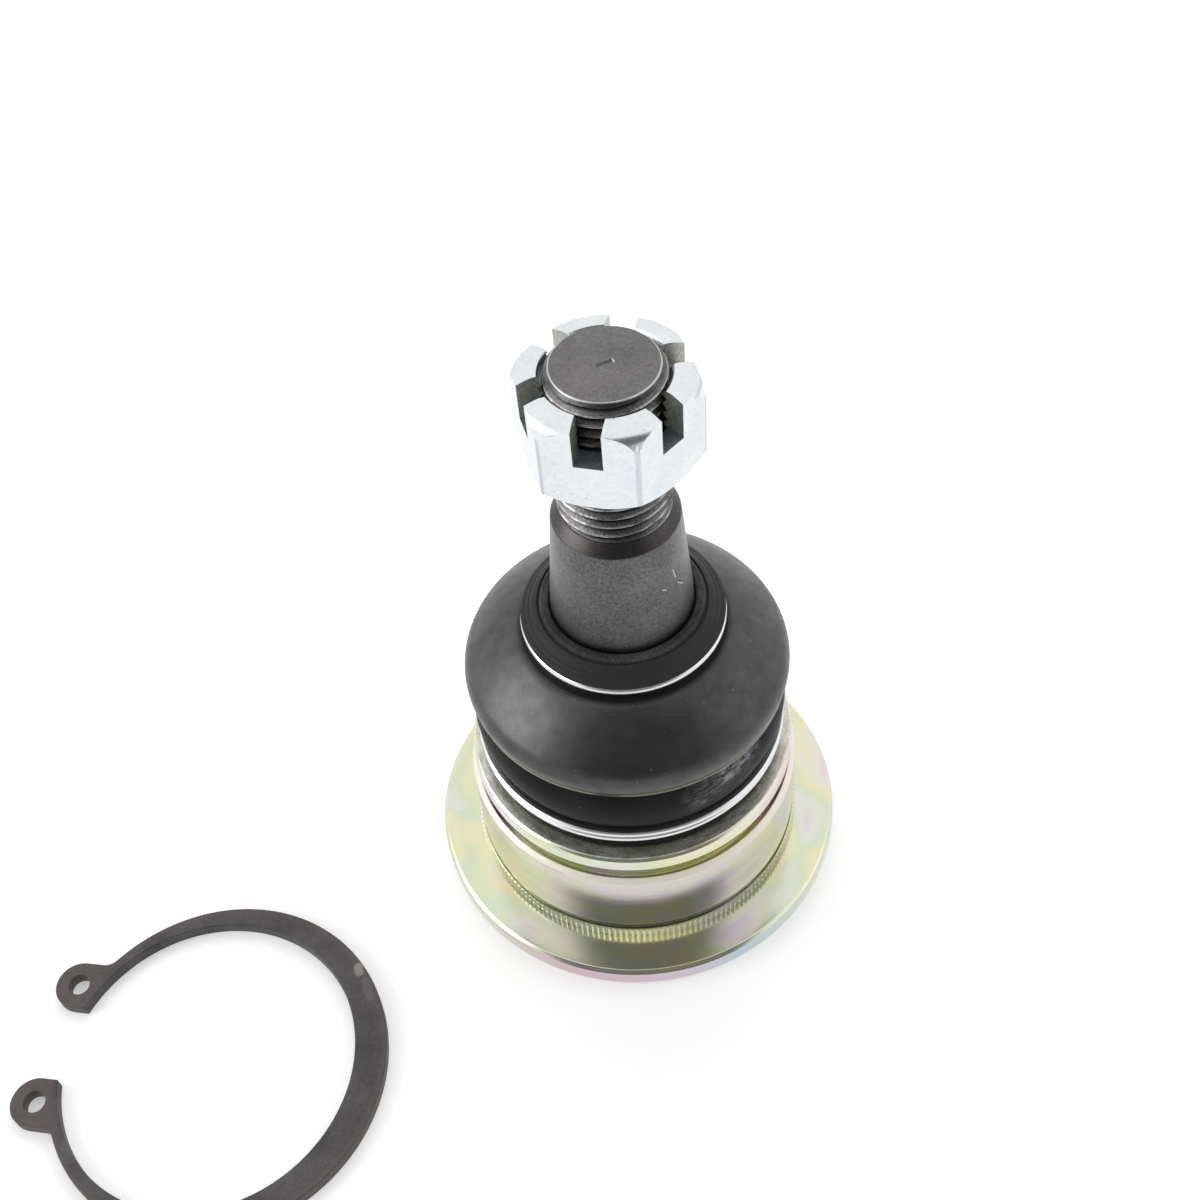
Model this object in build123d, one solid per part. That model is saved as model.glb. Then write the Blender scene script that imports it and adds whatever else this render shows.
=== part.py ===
"""Press-fit suspension ball joint with its castle nut fitted and its retaining ring lying beside it.

Millimetres. The origin is the centre of the ball and +Z runs up the stud. The joint stands on its flange.
"""

import os
from math import asin, cos, pi, radians, sin, sqrt, tan

from build123d import *

# Fits and running gaps
BALL_GAP = 0.05
SEAT_GAP = 0.04
BOOT_GAP = 0.08
CLIP_GAP = 0.05
THREAD_GAP = 0.06
SWAGE_GAP = 0.03

# Ball stud
BALL_R = 10.5
BALL_FLAT = 0.5
NECK_R = 5.8
FLARE_LENGTH = 7.2
COLLAR_R = 8.0
TAPER_SUNK = 0.6
TAPER_LENGTH = 14.2
TAPER_RATIO = 6.0
SHOULDER_HEIGHT = 1.2
THREAD_R = 5.95
THREAD_RELIEF = 0.3
THREAD_LENGTH = 18.1
END_CHAMFER_R = 0.65
END_CHAMFER_H = 0.8
COTTER_R = 1.4
COTTER_DROP = 3.4
PUNCH_LENGTH = 1.9
PUNCH_WIDTH = 0.6
PUNCH_DEPTH = 0.25
PUNCH_TURN = 22.0

# Full swing of the stud to either side, in degrees
TILT_LIMIT = 24.0
TILT_MARGIN = 0.5

# Housing, heights counted from the flange's underside
PRESS_R = 20.0
PRESS_LENGTH = 9.6
FLANGE_R = 25.2
FLANGE_T = 2.8
FLANGE_EDGE = 0.45
KNURL_STAND = 0.35
KNURL_DEPTH = 0.25
KNURL_HEIGHT = 1.5
KNURL_PITCH = 0.7
RELIEF_DEPTH = 0.3
RELIEF_HEIGHT = 0.9
LEAD_CHAMFER = 0.6
GROOVE_DEPTH = 2.0
RING_SIDE_GAP = 0.1
LIP_SET_IN = 0.6
LIP_HEIGHT = 2.05
LIP_EDGE = 0.35
BOOT_SEAT_R = 16.2
BOOT_SEAT_HEIGHT = 5.2
SEAT_WALL = 3.5
ROOF_RISE = 2.7
THROAT_GAP = 0.4
THROAT_LAND = 0.4
ROOF_LAND = 0.7

# Closing cap, swaged into the underside
CAP_STEP = 0.55
CAP_T = 2.0
CAP_BEVEL = 1.15
CAP_RECESS = 0.5
SWAGE_ROLL = 0.9

# Ball seats and the disc spring under them
SEAT_SPLIT = 0.5
SEAT_FLOOR = 1.1
GREASE_HOLE_R = 1.6
SPRING_SIDE_GAP = 1.3
SPRING_WIDTH = 5.1
SPRING_T = 0.6
SPRING_CONE = 0.5

# Lower clip ring, a flat wire wound in close turns
LOWER_WIRE_W = 1.15
LOWER_WIRE_H = 0.75
LOWER_TURNS = 2
TURN_GAP = 0.05
LOWER_CLIP_LIFT = 2.2

# Upper clip ring, a single round wire
UPPER_WIRE_R = 0.55
UPPER_CLIP_GAP_DEG = 16.0

# Dust boot, its foot stepping out from the housing's seat and its lip from the stud's collar
BOOT_WALL = 1.5
BOOT_EDGE = 0.2
CLIP_SEAT_WALL = 0.82
BEAD_STEP = 0.5
FOLD_SWELL = 0.7
FOLD_HEIGHT = 6.75
CREASE_DEPTH = 1.3
BULGE_SWELL = 0.35
BULGE_HEIGHT = 4.6
BULGE_SHADE = 0.88
CROWN_RISE = 4.1
CROWN_SHELF = 1.55
CROWN_BOW = 0.22
CROWN_STEP = 0.8
CLIP_NECK_WALL = 2.37
CLIP_NECK_PLAY = 0.1
LIP_SET_BACK = 0.35
LIP_RIM = 0.3
LIP_RISE = 1.5
RIDGE_WIDTH = 1.12
RIDGE_HEIGHT = 0.35

# Castle nut, its crown stepping out from the thread and its foot in from the flats
NUT_FLATS = 16.7
NUT_HEIGHT = 10.1
NUT_TOP_DROP = 0.9
NUT_SLOT_PLAY = 0.1
NUT_SLOT_DEPTH = 4.7
NUT_CROWN_LAND = 0.69
NUT_CROWN_CONE = 1.8
NUT_CROWN_FALL = 0.65
NUT_CORNER_ANGLE = 67.0
NUT_FOOT_IN = 0.15
NUT_FOOT_ANGLE = 40.0
NUT_COUNTERSINK = 0.5
NUT_TURN = -76.5

# Retaining ring, open and eccentric, lying flat beside the flange
RING_STAND = 2.0
RING_GRIP = 0.45
RING_OFFSET = 1.4
RING_T = 1.75
RING_GAP = 9.0
LUG_R = 2.9
LUG_HOLE_R = 1.25
LUG_WALL = 1.4
LUG_FILLET = 1.8
RING_CLEAR = 15.53
RING_BEARING = 210.78
RING_TURN = 168.0

# Radii that follow the press fit
KNURL_TIP_R = PRESS_R + KNURL_STAND
KNURL_ROOT_R = KNURL_TIP_R - KNURL_DEPTH
RELIEF_R = PRESS_R - RELIEF_DEPTH
GROOVE_R = PRESS_R - GROOVE_DEPTH
LIP_R = PRESS_R - LIP_SET_IN
RING_HOLE_R = GROOVE_R - RING_GRIP
RING_R = GROOVE_R + RING_STAND
RING_AWAY = FLANGE_R + RING_CLEAR + RING_R

# Radii that follow the ball, out to the closing cap
BORE_R = BALL_R + SEAT_WALL
CAP_R = BORE_R + CAP_STEP
SPRING_OUTER_R = BORE_R - SPRING_SIDE_GAP
SPRING_INNER_R = SPRING_OUTER_R - SPRING_WIDTH

# Boot radii, outwards from the housing's seat and from the stud's collar
CLIP_SEAT_R = BOOT_SEAT_R + BOOT_GAP + CLIP_SEAT_WALL
BEAD_R = CLIP_SEAT_R + BEAD_STEP
FOLD_R = BEAD_R + FOLD_SWELL
BULGE_R = FOLD_R + BULGE_SWELL
CREASE_R = BULGE_R - CREASE_DEPTH
SHADE_R = BULGE_R - BULGE_SHADE
LIP_BORE_R = COLLAR_R + BOOT_GAP
RIDGE_R = LIP_BORE_R + RIDGE_WIDTH
CLIP_NECK_R = LIP_BORE_R + CLIP_NECK_WALL
LIP_OUTER_R = CLIP_NECK_R + CLIP_GAP + 2 * UPPER_WIRE_R - LIP_SET_BACK
CROWN_R = CLIP_NECK_R + CROWN_SHELF

# Nut radii, outwards from the thread
NUT_BORE_R = THREAD_R + THREAD_GAP
NUT_CROWN_R = NUT_BORE_R + NUT_COUNTERSINK + NUT_CROWN_LAND
NUT_BEVEL_R = NUT_CROWN_R + NUT_CROWN_CONE
NUT_CORNER_R = NUT_FLATS / sqrt(3)
NUT_FOOT_R = NUT_FLATS / 2 - NUT_FOOT_IN
NUT_SLOT_W = 2 * COTTER_R + NUT_SLOT_PLAY

# Heights worked out from the sizes above, with the ball's centre at zero
BASE_Z = -(CAP_RECESS + CAP_T + SEAT_FLOOR + BALL_R)
SHOULDER_Z = BASE_Z + FLANGE_T
KNURL_TOP = SHOULDER_Z + KNURL_HEIGHT
PRESS_LOW = KNURL_TOP + RELIEF_HEIGHT
PRESS_TOP = PRESS_LOW + PRESS_LENGTH
GROOVE_LOW = PRESS_TOP + LEAD_CHAMFER
GROOVE_TOP = GROOVE_LOW + RING_T + RING_SIDE_GAP
LIP_TOP = GROOVE_TOP + LIP_HEIGHT
MOUTH_Z = LIP_TOP + BOOT_SEAT_HEIGHT
CAP_LOW = BASE_Z + CAP_RECESS
CAP_TOP = CAP_LOW + CAP_T

# The throat just clears the tilted neck, and the mouth opens above it at the same slope
TILT = radians(TILT_LIMIT)
THROAT_REACH = BALL_R + THROAT_GAP
THROAT_ANGLE = TILT + asin((NECK_R + TILT_MARGIN) / THROAT_REACH)
THROAT_R = THROAT_REACH * sin(THROAT_ANGLE)
THROAT_Z = THROAT_REACH * cos(THROAT_ANGLE)
ROOF_Z = THROAT_Z - ROOF_RISE
MOUTH_R = THROAT_R + (MOUTH_Z - THROAT_Z - THROAT_LAND) * tan(TILT)

# Boot heights, from the lower clip up to the sealing lip
CLIP_PITCH = LOWER_WIRE_H + TURN_GAP
CLIP_LOW = LIP_TOP + LOWER_CLIP_LIFT
CLIP_TOP = CLIP_LOW + (LOWER_TURNS + 1) * CLIP_PITCH
FOLD_LOW = CLIP_TOP + CLIP_GAP
CREASE_Z = FOLD_LOW + FOLD_HEIGHT
SHADE_Z = CREASE_Z + BULGE_HEIGHT
CROWN_Z = SHADE_Z + CROWN_RISE
CLIP_NECK_LOW = CROWN_Z + CROWN_STEP
CLIP_NECK_TOP = CLIP_NECK_LOW + 2 * UPPER_WIRE_R + 2 * CLIP_GAP + CLIP_NECK_PLAY
LIP_RIM_TOP = CLIP_NECK_TOP + LIP_RIM
BOOT_LIP = LIP_RIM_TOP + LIP_RISE
BOOT_TOP = BOOT_LIP + RIDGE_HEIGHT

# Stud heights, from the tilted mouth up to the threaded end
NECK_TOP = MOUTH_R * sin(TILT) + MOUTH_Z * cos(TILT) + TILT_MARGIN
COLLAR_LOW = NECK_TOP + FLARE_LENGTH
TAPER_LOW = BOOT_TOP - TAPER_SUNK
TAPER_TOP = TAPER_LOW + TAPER_LENGTH
TAPER_TOP_R = COLLAR_R - TAPER_LENGTH / (2 * TAPER_RATIO)
THREAD_LOW = TAPER_TOP + SHOULDER_HEIGHT
STUD_TOP = THREAD_LOW + THREAD_LENGTH + END_CHAMFER_H
NUT_TOP = STUD_TOP - NUT_TOP_DROP
NUT_LOW = NUT_TOP - NUT_HEIGHT


def turned(*outline):
    """A closed outline of (radius, height) corners, turned once round the axis."""
    return revolve(make_face(Polyline(*[(r, 0, z) for r, z in outline], close=True)), Axis.Z)


def housing():
    """Flanged body with the press fit, ring groove, boot seat, ball socket and swaged foot."""
    foot_r = CAP_R - CAP_BEVEL
    body = turned(
        (foot_r, BASE_Z + 0.4 * CAP_RECESS),
        (foot_r + SWAGE_ROLL, BASE_Z),
        (FLANGE_R - FLANGE_EDGE, BASE_Z),
        (FLANGE_R, BASE_Z + FLANGE_EDGE),
        (FLANGE_R, SHOULDER_Z - FLANGE_EDGE),
        (FLANGE_R - FLANGE_EDGE, SHOULDER_Z),
        (KNURL_ROOT_R, SHOULDER_Z),
        (KNURL_ROOT_R, KNURL_TOP),
        (RELIEF_R, KNURL_TOP),
        (RELIEF_R, PRESS_LOW - RELIEF_DEPTH),
        (PRESS_R, PRESS_LOW),
        (PRESS_R, PRESS_TOP),
        (PRESS_R - LEAD_CHAMFER, GROOVE_LOW),
        (GROOVE_R, GROOVE_LOW),
        (GROOVE_R, GROOVE_TOP),
        (LIP_R, GROOVE_TOP),
        (LIP_R, LIP_TOP - LIP_EDGE),
        (LIP_R - LIP_EDGE, LIP_TOP),
        (BOOT_SEAT_R, LIP_TOP),
        (BOOT_SEAT_R, MOUTH_Z - LIP_EDGE),
        (BOOT_SEAT_R - LIP_EDGE, MOUTH_Z),
        (MOUTH_R, MOUTH_Z),
        (THROAT_R, THROAT_Z + THROAT_LAND),
        (THROAT_R, THROAT_Z),
        (THROAT_R + ROOF_LAND, THROAT_Z),
        (BORE_R, ROOF_Z),
        (BORE_R, CAP_TOP),
        (CAP_R, CAP_TOP),
        (CAP_R, CAP_LOW + CAP_BEVEL),
        (foot_r, CAP_LOW),
    )
    return body + knurl()


def knurl():
    """Straight teeth round the root of the press fit, which bite into the mating bore."""
    count = round(2 * pi * KNURL_TIP_R / KNURL_PITCH)
    corners = []
    for tooth in range(count):
        for step, radius in ((0.0, KNURL_ROOT_R), (0.35, KNURL_TIP_R), (0.65, KNURL_TIP_R)):
            angle = 2 * pi * (tooth + step) / count
            corners.append((radius * cos(angle), radius * sin(angle)))
    band = make_face(Polyline(*corners, close=True)) - Circle(KNURL_ROOT_R - 2 * KNURL_DEPTH)
    return Pos(0, 0, SHOULDER_Z) * extrude(band, KNURL_HEIGHT)


def closing_cap():
    """Bevelled plate that closes the foot under the swaged edge."""
    rim = CAP_R - SWAGE_GAP
    return turned(
        (0, CAP_LOW + SWAGE_GAP),
        (rim - CAP_BEVEL, CAP_LOW + SWAGE_GAP),
        (rim, CAP_LOW + SWAGE_GAP + CAP_BEVEL),
        (rim, CAP_TOP - SWAGE_GAP),
        (0, CAP_TOP - SWAGE_GAP),
    )


def socket_sphere():
    """The room that the ball takes up inside its seats."""
    return Sphere(BALL_R + BALL_GAP)


def lower_ball_seat():
    """Plain cup under the ball, with a grease hole and a rebate for the disc spring."""
    rim = BORE_R - SEAT_GAP
    floor = CAP_TOP + SEAT_GAP
    rebate = floor + SPRING_T + SPRING_CONE + SEAT_GAP
    blank = turned(
        (GREASE_HOLE_R, floor),
        (SPRING_INNER_R - SEAT_GAP, floor),
        (SPRING_INNER_R - SEAT_GAP, rebate),
        (rim, rebate),
        (rim, -SEAT_SPLIT / 2),
        (GREASE_HOLE_R, -SEAT_SPLIT / 2),
    )
    return blank - socket_sphere()


def upper_ball_seat():
    """Ring over the ball that follows the housing's roof up to the throat."""
    rim = BORE_R - SEAT_GAP
    land = THROAT_R + ROOF_LAND
    blank = turned(
        (THROAT_R, SEAT_SPLIT / 2),
        (rim, SEAT_SPLIT / 2),
        (rim, ROOF_Z - SEAT_GAP),
        (land - SEAT_GAP, THROAT_Z - 2 * SEAT_GAP),
        (THROAT_R, THROAT_Z - 2 * SEAT_GAP),
    )
    return blank - socket_sphere()


def preload_spring():
    """Coned disc spring between the cap and the lower seat."""
    low = CAP_TOP + SEAT_GAP
    return turned(
        (SPRING_INNER_R, low + SPRING_CONE),
        (SPRING_OUTER_R, low),
        (SPRING_OUTER_R, low + SPRING_T),
        (SPRING_INNER_R, low + SPRING_CONE + SPRING_T),
    )


def ball_stud():
    """Ball, waisted neck, boot collar, taper and threaded end, turned from one bar."""
    neck_meets = sqrt(BALL_R**2 - NECK_R**2)
    flat_z = -BALL_R + BALL_FLAT
    flat_r = sqrt(BALL_R**2 - flat_z**2)
    mid = radians(-10.0)
    with BuildLine(Plane.XZ) as outline:
        Line((0, flat_z), (flat_r, flat_z))
        ThreePointArc(
            (flat_r, flat_z), (BALL_R * cos(mid), BALL_R * sin(mid)), (NECK_R, neck_meets)
        )
        Line((NECK_R, neck_meets), (NECK_R, NECK_TOP))
        Spline(
            (NECK_R, NECK_TOP), (COLLAR_R, COLLAR_LOW), tangents=((0, 1), (0, 1))
        )
        Polyline(
            (COLLAR_R, COLLAR_LOW),
            (COLLAR_R, TAPER_LOW),
            (TAPER_TOP_R, TAPER_TOP),
            (THREAD_R - THREAD_RELIEF, THREAD_LOW),
            (THREAD_R, THREAD_LOW + THREAD_RELIEF),
            (THREAD_R, STUD_TOP - END_CHAMFER_H),
            (THREAD_R - END_CHAMFER_R, STUD_TOP),
            (0, STUD_TOP),
            (0, flat_z),
        )
    bar = revolve(make_face(outline.line), Axis.Z)
    cotter = Rot(0, 0, NUT_TURN) * Rot(0, 90, 0) * Cylinder(COTTER_R, 4 * THREAD_R)
    punch = Rot(0, 0, PUNCH_TURN) * Box(PUNCH_LENGTH, PUNCH_WIDTH, 2 * PUNCH_DEPTH)
    return bar - Pos(0, 0, STUD_TOP - COTTER_DROP) * cotter - Pos(0, 0, STUD_TOP) * punch


def boot_wave(inset):
    """Points up the boot's wall from the clip seat to the crown, moved in by an inset."""
    bow_r = (SHADE_R + CROWN_R) / 2 + CROWN_BOW
    bow_z = (SHADE_Z + CROWN_Z) / 2 + CROWN_BOW
    return (
        (BEAD_R - inset, FOLD_LOW),
        (FOLD_R - inset, FOLD_LOW + FOLD_HEIGHT / 2),
        (CREASE_R - inset, CREASE_Z),
        (BULGE_R - inset, CREASE_Z + BULGE_HEIGHT / 2),
        (SHADE_R - 0.7 * inset, SHADE_Z - 0.7 * inset),
        (bow_r - 0.5 * inset, bow_z - 0.8 * inset),
        (CROWN_R - 0.3 * inset, CROWN_Z - inset),
    )


def dust_boot():
    """Rubber boot: bead, clip seat, fold, bulge, crown, clip neck and sealing lip."""
    foot = LIP_TOP + BOOT_GAP
    foot_bore = BOOT_SEAT_R + BOOT_GAP
    start, fold, crease, bulge, shade, bow, crown = boot_wave(0)
    _, fold_in, crease_in, bulge_in, shade_in, bow_in, crown_in = boot_wave(BOOT_WALL)
    mouth = (foot_bore, MOUTH_Z + BOOT_GAP)
    with BuildLine(Plane.XZ) as outline:
        Polyline(
            (foot_bore, foot),
            (BEAD_R - BOOT_EDGE, foot),
            (BEAD_R, foot + BOOT_EDGE),
            (BEAD_R, CLIP_LOW - CLIP_GAP),
            (CLIP_SEAT_R, CLIP_LOW - CLIP_GAP),
            (CLIP_SEAT_R, FOLD_LOW),
            start,
        )
        ThreePointArc(start, fold, crease)
        ThreePointArc(crease, bulge, shade)
        ThreePointArc(shade, bow, crown)
        Polyline(
            crown,
            (CLIP_NECK_R, CLIP_NECK_LOW),
            (CLIP_NECK_R, CLIP_NECK_TOP),
            (LIP_OUTER_R, CLIP_NECK_TOP),
            (LIP_OUTER_R, LIP_RIM_TOP),
            (RIDGE_R + BOOT_EDGE, BOOT_LIP),
            (RIDGE_R, BOOT_LIP),
            (RIDGE_R - BOOT_EDGE, BOOT_TOP),
            (LIP_BORE_R + BOOT_EDGE, BOOT_TOP),
            (LIP_BORE_R, BOOT_TOP - BOOT_EDGE),
            (LIP_BORE_R, CROWN_Z - BOOT_WALL),
            crown_in,
        )
        ThreePointArc(crown_in, bow_in, shade_in)
        ThreePointArc(shade_in, bulge_in, crease_in)
        ThreePointArc(crease_in, fold_in, mouth)
        Line(mouth, (foot_bore, foot))
    return revolve(make_face(outline.line), Axis.Z)


def lower_clip_ring():
    """Flat wire wound in close turns round the boot's foot."""
    radius = CLIP_SEAT_R + CLIP_GAP + LOWER_WIRE_W / 2
    path = Rot(0, 0, 90) * Helix(CLIP_PITCH, LOWER_TURNS * CLIP_PITCH, radius)
    end_plane = Plane(path @ 0, x_dir=(0, 1, 0), z_dir=path % 0)
    coil = sweep(end_plane * Rectangle(LOWER_WIRE_W, LOWER_WIRE_H), path, is_frenet=True)
    return Pos(0, 0, CLIP_LOW + CLIP_PITCH / 2) * coil


def upper_clip_ring():
    """Single open turn of round wire in the groove under the boot's lip."""
    centre = Pos(CLIP_NECK_R + CLIP_GAP + UPPER_WIRE_R, CLIP_NECK_TOP - CLIP_GAP - UPPER_WIRE_R)
    section = Plane.XZ * centre * Circle(UPPER_WIRE_R)
    wire = revolve(section, Axis.Z, 360 - UPPER_CLIP_GAP_DEG)
    return Rot(0, 0, 90 + UPPER_CLIP_GAP_DEG / 2) * wire


def castle_nut():
    """Hexagon nut with a coned crown, a bevelled foot and a slot through each flat."""
    hexagon = Pos(0, 0, NUT_LOW) * extrude(RegularPolygon(NUT_CORNER_R, 6), NUT_HEIGHT)
    reach = max(NUT_CORNER_R, NUT_BEVEL_R) + NUT_COUNTERSINK
    crown = NUT_TOP - NUT_CROWN_FALL
    corner_fall = (reach - NUT_BEVEL_R) * tan(radians(NUT_CORNER_ANGLE))
    foot_rise = (reach - NUT_FOOT_R) * tan(radians(NUT_FOOT_ANGLE))
    envelope = turned(
        (NUT_BORE_R + NUT_COUNTERSINK, NUT_LOW),
        (NUT_FOOT_R, NUT_LOW),
        (reach, NUT_LOW + foot_rise),
        (reach, crown - corner_fall),
        (NUT_BEVEL_R, crown),
        (NUT_CROWN_R, NUT_TOP),
        (NUT_BORE_R + NUT_COUNTERSINK, NUT_TOP),
        (NUT_BORE_R, NUT_TOP - NUT_COUNTERSINK),
        (NUT_BORE_R, NUT_LOW + NUT_COUNTERSINK),
    )
    nut = hexagon & envelope
    slot = Box(2 * reach, NUT_SLOT_W, 2 * NUT_SLOT_DEPTH)
    for turn in (30, 90, 150):
        nut -= Pos(0, 0, NUT_TOP) * Rot(0, 0, turn) * slot
    return Rot(0, 0, NUT_TURN) * nut


def snap_ring():
    """Open tapered ring, widest opposite its gap, with a holed lug at each end for the pliers."""
    bore = Pos(RING_OFFSET, 0) * Circle(RING_HOLE_R)
    side = RING_GAP / 2 + LUG_R
    reach = RING_OFFSET + sqrt((RING_HOLE_R + LUG_WALL + LUG_HOLE_R) ** 2 - side**2)
    root = sqrt(RING_R**2 - (side + LUG_R) ** 2)
    blank = Circle(RING_R)
    for way in (-1, 1):
        blank += Pos(reach, way * side) * Circle(LUG_R)
        blank += Pos(reach / 2, way * side) * Rectangle(reach, 2 * LUG_R)
    for way in (-1, 1):
        corner = blank.vertices().sort_by_distance((root, way * (side + LUG_R), 0))[0]
        blank = fillet(corner, LUG_FILLET)
    blank -= Pos(reach, 0) * Rectangle(2 * (reach - RING_OFFSET), RING_GAP)
    blank -= bore
    for way in (-1, 1):
        blank -= Pos(reach, way * side) * Circle(LUG_HOLE_R)
    ring = Pos(RING_AWAY, 0, BASE_Z) * Rot(0, 0, RING_TURN - RING_BEARING) * extrude(blank, RING_T)
    return Rot(0, 0, RING_BEARING) * ring


PIECES = {
    "housing": housing,
    "closing_cap": closing_cap,
    "lower_ball_seat": lower_ball_seat,
    "upper_ball_seat": upper_ball_seat,
    "preload_spring": preload_spring,
    "ball_stud": ball_stud,
    "dust_boot": dust_boot,
    "lower_clip_ring": lower_clip_ring,
    "upper_clip_ring": upper_clip_ring,
    "castle_nut": castle_nut,
    "snap_ring": snap_ring,
}

os.makedirs("parts", exist_ok=True)
for node, build in PIECES.items():
    export_step(build(), f"parts/{node}.step")
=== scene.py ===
"""Looks of a press-fit suspension ball joint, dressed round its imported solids. Sizes are in millimetres."""

from math import atan2, cos, hypot, pi, radians, sin, sqrt

import bmesh
import bpy
from mathutils import Matrix, Vector


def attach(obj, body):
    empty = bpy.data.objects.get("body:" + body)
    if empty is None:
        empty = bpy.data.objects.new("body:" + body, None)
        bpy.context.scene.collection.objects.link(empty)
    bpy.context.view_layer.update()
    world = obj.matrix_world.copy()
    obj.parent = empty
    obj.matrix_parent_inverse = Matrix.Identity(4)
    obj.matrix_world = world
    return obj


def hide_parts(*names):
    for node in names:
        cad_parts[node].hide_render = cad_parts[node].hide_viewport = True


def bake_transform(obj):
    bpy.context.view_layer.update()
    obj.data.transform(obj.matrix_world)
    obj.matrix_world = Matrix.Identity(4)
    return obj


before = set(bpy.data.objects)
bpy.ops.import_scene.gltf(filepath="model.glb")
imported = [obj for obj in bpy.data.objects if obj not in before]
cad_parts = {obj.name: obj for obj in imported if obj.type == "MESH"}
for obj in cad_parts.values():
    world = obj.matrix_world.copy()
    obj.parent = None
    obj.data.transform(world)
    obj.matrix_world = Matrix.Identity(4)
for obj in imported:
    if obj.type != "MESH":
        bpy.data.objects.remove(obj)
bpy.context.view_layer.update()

MM = 0.001

# Sizes, most of them shared with the solids
BASE_Z = -14.1
SHOULDER_Z = -11.3
KNURL_TOP = -9.8
PRESS_LOW = -8.9
PRESS_TOP = 0.7
GROOVE_LOW = 1.3
GROOVE_TOP = 3.15
LIP_TOP = 5.2
MOUTH_Z = 10.4
FLANGE_R = 25.2
KNURL_ROOT_R = 20.1
KNURL_TIP_R = 20.35
KNURL_TEETH = 183
RELIEF_R = 19.7
PRESS_R = 20.0
LIP_R = 19.4
GROOVE_R = 18.0
BOOT_SEAT_R = 16.2
MOUTH_R = 11.342
THROAT_R = 9.369
THROAT_LOW = 5.572
SOCKET_R = 14.0
CAP_R = 14.55
CAP_TOP = -11.6
CAP_LOW = -12.45
FOOT_R = 13.4
BALL_R = 10.5
BALL_FLAT_Z = -10.0
NECK_R = 5.8
NECK_TOP = 14.62
COLLAR_R = 8.0
COLLAR_LOW = 21.82
TAPER_LOW = 28.95
TAPER_TOP = 43.15
TAPER_TOP_R = 6.817
THREAD_LOW = 44.35
THREAD_R = 5.95
STUD_TOP = 63.25
END_R = 5.3
PIN_HOLE_R = 1.4
PIN_HOLE_DROP = 3.4
PUNCH_TURN = 22
PUNCH_LONG = 1.9
PUNCH_WIDE = 0.62
BOOT_BORE_R = 16.28
BOOT_FOOT_Z = 5.28
CLIP_SEAT_R = 17.1
CLIP_LOW = 7.4
CREASE_Z = 16.6
SEAM_Z = 17.3
BOOT_CROWN_Z = 25.3
BOOT_LIP_Z = 27.4
BOOT_TOP = 29.55
NUT_LOW = 52.25
NUT_TOP = 62.35
NUT_CORNER_R = 9.642
NUT_CROWN_R = 9.0
NUT_TURN = -76.5
SLOT_FLOOR = 57.65
SLOT_WIDE = 2.9
RING_R = 20.0
RING_X = -52.177
RING_Y = -31.077
RING_TURN = 168.0
THREAD_PITCH = 1.25
THREAD_DEPTH = 0.72


# Modelling steps


def put_down(piece):
    """Leaves edit mode with this piece as the only one selected."""
    if bpy.context.object and bpy.context.object.mode == "EDIT":
        bpy.ops.object.mode_set(mode="OBJECT")
    bpy.ops.object.select_all(action="DESELECT")
    if piece:
        piece.select_set(True)
        bpy.context.view_layer.objects.active = piece
    return piece


def pull_line(name, points):
    """Pulls one vertex from point to point and leaves the line in edit mode."""
    put_down(None)
    bpy.ops.mesh.primitive_circle_add(vertices=3, radius=MM, location=Vector(points[0]) * MM)
    piece = bpy.context.object
    piece.name = name
    bpy.ops.object.transform_apply(location=True, rotation=True, scale=True)
    bpy.ops.object.mode_set(mode="EDIT")
    bpy.ops.mesh.select_mode(type="VERT")
    bpy.ops.mesh.select_all(action="SELECT")
    bpy.ops.mesh.merge(type="CENTER")
    for here, there in zip(points, points[1:]):
        step = (Vector(there) - Vector(here)) * MM
        bpy.ops.mesh.extrude_region_move(TRANSFORM_OT_translate={"value": step})
    return piece


def merge_near(reach=0.002):
    """Selects all of the piece in edit mode and merges what meets."""
    bpy.ops.mesh.select_all(action="SELECT")
    bpy.ops.mesh.remove_doubles(threshold=reach * MM)


def close_up(piece):
    """Merges what meets, turns the faces outwards and leaves edit mode."""
    merge_near()
    bpy.ops.mesh.normals_make_consistent(inside=False)
    return put_down(piece)


def turn_on_lathe(name, outline, steps=192):
    """Turns an outline of (radius, height) corners once round the axis."""
    piece = pull_line(name, [(r, 0, z) for r, z in outline])
    bpy.ops.mesh.select_all(action="SELECT")
    bpy.ops.mesh.spin(steps=steps, angle=2 * pi, center=(0, 0, 0), axis=(0, 0, 1))
    return close_up(piece)


def apply_all(piece):
    """Applies every modifier of a piece, in order."""
    put_down(piece)
    for modifier in list(piece.modifiers):
        bpy.ops.object.modifier_apply(modifier=modifier.name)
    return piece


def soften_edges(piece, width, angle=25, segments=2):
    """Breaks the sharp edges of a piece by a small round."""
    bevel = piece.modifiers.new("soft_edges", "BEVEL")
    bevel.width = width * MM
    bevel.segments = segments
    bevel.limit_method = "ANGLE"
    bevel.angle_limit = radians(angle)
    bevel.use_clamp_overlap = True
    return apply_all(piece)


def cut(piece, tool, way="DIFFERENCE"):
    """Cuts, joins or keeps what is common with a tool, and takes the tool away."""
    boolean = piece.modifiers.new("cut", "BOOLEAN")
    boolean.operation = way
    boolean.solver = "EXACT"
    boolean.object = tool
    apply_all(piece)
    bpy.data.objects.remove(tool)
    return piece


def merge_flats(piece):
    """Merges what a cut leaves doubled and joins the facets of each flat face."""
    put_down(piece)
    bpy.ops.object.mode_set(mode="EDIT")
    merge_near(0.004)
    bpy.ops.mesh.dissolve_limited(angle_limit=radians(0.3))
    return close_up(piece)


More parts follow.
